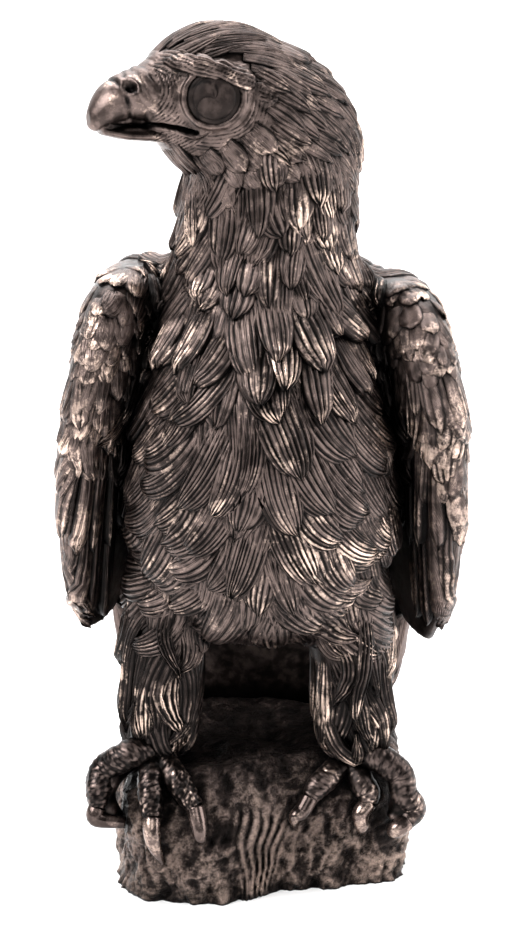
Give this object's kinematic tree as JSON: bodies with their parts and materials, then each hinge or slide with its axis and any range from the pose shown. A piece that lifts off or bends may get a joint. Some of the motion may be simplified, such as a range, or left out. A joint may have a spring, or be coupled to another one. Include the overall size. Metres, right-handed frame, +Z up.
{
  "type": "eagle statuette",
  "caption": "Standing eagle with drooping wings and turned head, gripping a rough rock, cast in one piece for display on a shelf or desk.",
  "frame": {"origin": "middle of the rock's flat underside, on the surface that it rests on", "axes": "+Z up, the chest faces -Y, +X is the viewer's right; the head is turned towards -X"},
  "size_m": [0.0962, 0.0754, 0.2012],
  "materials": {
    "patinated_bronze": "dark brown patina with rubbed, warm bright high spots"
  },
  "bodies": {
    "root": {"eagle_on_rock": "patinated_bronze"}
  },
  "joints": []
}
